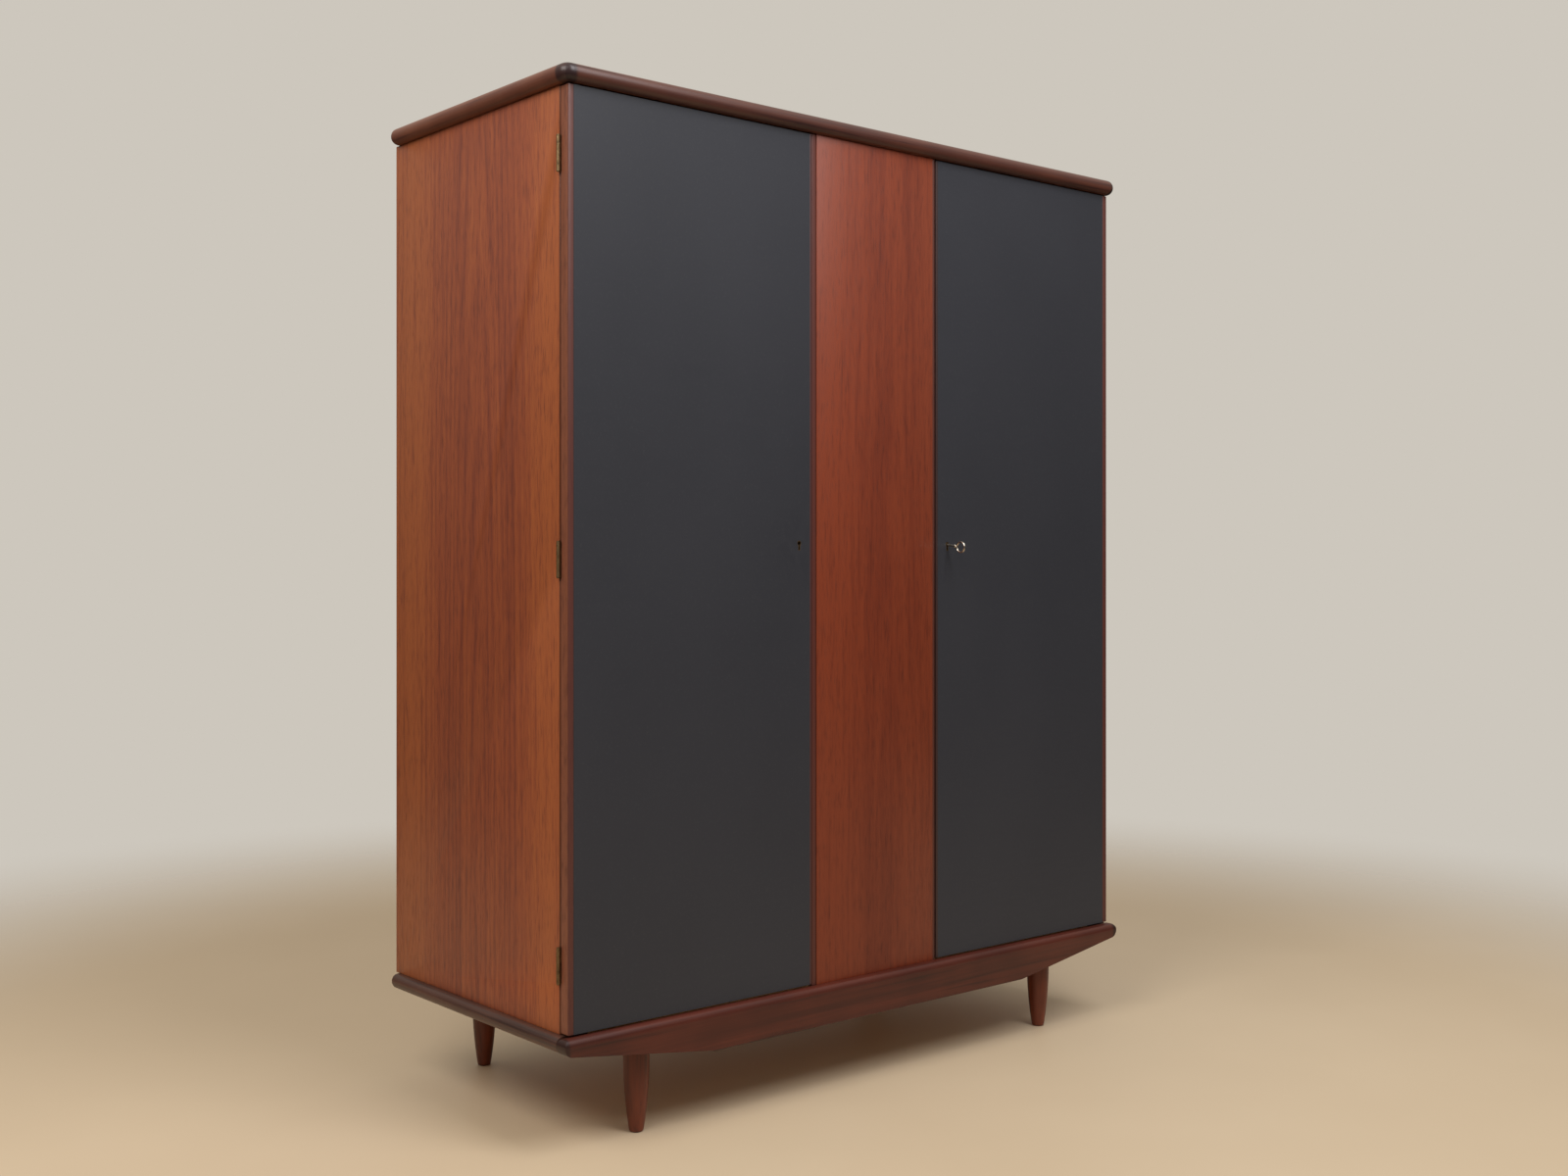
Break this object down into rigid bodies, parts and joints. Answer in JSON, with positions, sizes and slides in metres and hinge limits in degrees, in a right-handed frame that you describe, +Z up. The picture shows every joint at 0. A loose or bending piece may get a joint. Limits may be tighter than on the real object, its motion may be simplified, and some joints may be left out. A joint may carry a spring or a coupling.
{
  "type": "wardrobe",
  "caption": "Free-standing wardrobe on turned tapered legs: hinged grey-faced doors either side of a fixed wood panel, rounded top frame, shaped front apron, cut-in locks with a key.",
  "frame": {"origin": "on the floor, below the centre of the whole object's box, the key included", "axes": "+X to the right of a person facing the doors, +Y from the doors to the back, +Z up"},
  "size_m": [1.37, 0.623, 1.748],
  "materials": {
    "side_teak": "oiled teak veneer, fine upright grain, satin",
    "rail_teak": "darkened oiled solid teak, satin",
    "top_teak": "oiled teak veneer, satin",
    "centre_teak": "red-brown teak veneer, satin",
    "lipping_teak": "darkened solid teak, satin",
    "leg_teak": "turned solid teak, satin",
    "inside_wood": "pale lacquered wood",
    "back_plywood": "raw plywood",
    "door_core": "teak veneer on board",
    "grey_sheet": "matt dark grey face sheet",
    "aged_brass": "aged brass",
    "steel": "plain steel",
    "key_metal": "worn nickel plate"
  },
  "bodies": {
    "carcass": {"bottom_left_rail": "rail_teak", "bottom_panel": "inside_wood", "bottom_rear_rail": "rail_teak", "bottom_right_rail": "rail_teak", "centre_left_lipping": "lipping_teak", "centre_panel": "centre_teak", "centre_partition": "inside_wood", "centre_right_lipping": "lipping_teak", "frame_hinge_screws": "aged_brass", "front_apron": "rail_teak", "front_left_leg": "leg_teak", "front_right_leg": "leg_teak", "hanging_rod": "inside_wood", "hinge_pins": "aged_brass", "left_back_panel": "back_plywood", "left_hat_shelf": "inside_wood", "left_hinge_frame_leaves": "aged_brass", "left_shelf_cleats": "inside_wood", "left_side_panel": "side_teak", "left_stop_stile": "inside_wood", "left_strike_plate": "aged_brass", "leg_blocks": "inside_wood", "leg_bolts": "steel", "rear_left_leg": "leg_teak", "rear_right_leg": "leg_teak", "right_back_panel": "back_plywood", "right_hinge_frame_leaves": "aged_brass", "right_lower_shelf": "inside_wood", "right_middle_shelf": "inside_wood", "right_shelf_cleats": "inside_wood", "right_side_panel": "side_teak", "right_stop_stile": "inside_wood", "right_strike_plate": "aged_brass", "right_upper_shelf": "inside_wood", "rod_sockets": "steel", "top_front_rail": "rail_teak", "top_left_rail": "rail_teak", "top_panel": "top_teak", "top_rear_rail": "rail_teak", "top_right_rail": "rail_teak"},
    "left_door": {"left_door_core": "door_core", "left_door_face_sheet": "grey_sheet", "left_door_outer_lipping": "lipping_teak", "left_door_inner_lipping": "lipping_teak", "left_hinge_door_leaves": "aged_brass", "left_door_hinge_screws": "aged_brass", "left_keyhole_bush": "aged_brass", "left_lock_case": "aged_brass"},
    "right_door": {"right_door_core": "door_core", "right_door_face_sheet": "grey_sheet", "right_door_outer_lipping": "lipping_teak", "right_door_inner_lipping": "lipping_teak", "right_hinge_door_leaves": "aged_brass", "right_door_hinge_screws": "aged_brass", "right_keyhole_bush": "aged_brass", "right_lock_case": "aged_brass"},
    "left_bolt": {"left_lock_bolt": "steel"},
    "right_bolt": {"right_lock_bolt": "steel"},
    "key": {"key": "key_metal"}
  },
  "joints": [
    {"name": "left_door_hinge", "type": "hinge", "parent": "carcass", "child": "left_door", "pos_m": [-0.672, -0.2415, 0.9], "axis": [0, 0, -1], "range_deg": [0, 175]},
    {"name": "right_door_hinge", "type": "hinge", "parent": "carcass", "child": "right_door", "pos_m": [0.672, -0.2415, 0.9], "axis": [0, 0, 1], "range_deg": [0, 175]},
    {"name": "left_bolt_slide", "type": "slide", "parent": "left_door", "child": "left_bolt", "axis": [1, 0, 0], "range_m": [0, 0.008]},
    {"name": "key_turn", "type": "hinge", "parent": "right_door", "child": "key", "pos_m": [0.193, -0.2585, 0.985], "axis": [0, -0.9903, -0.1392], "range_deg": [0, 180]},
    {"name": "right_bolt_slide", "type": "slide", "parent": "right_door", "child": "right_bolt", "axis": [-1, 0, 0], "range_m": [0, 0.008]}
  ],
  "couplings": [
    {"joint": "right_bolt_slide", "follows": "key_turn", "m_per_rad": 0.002546}
  ]
}
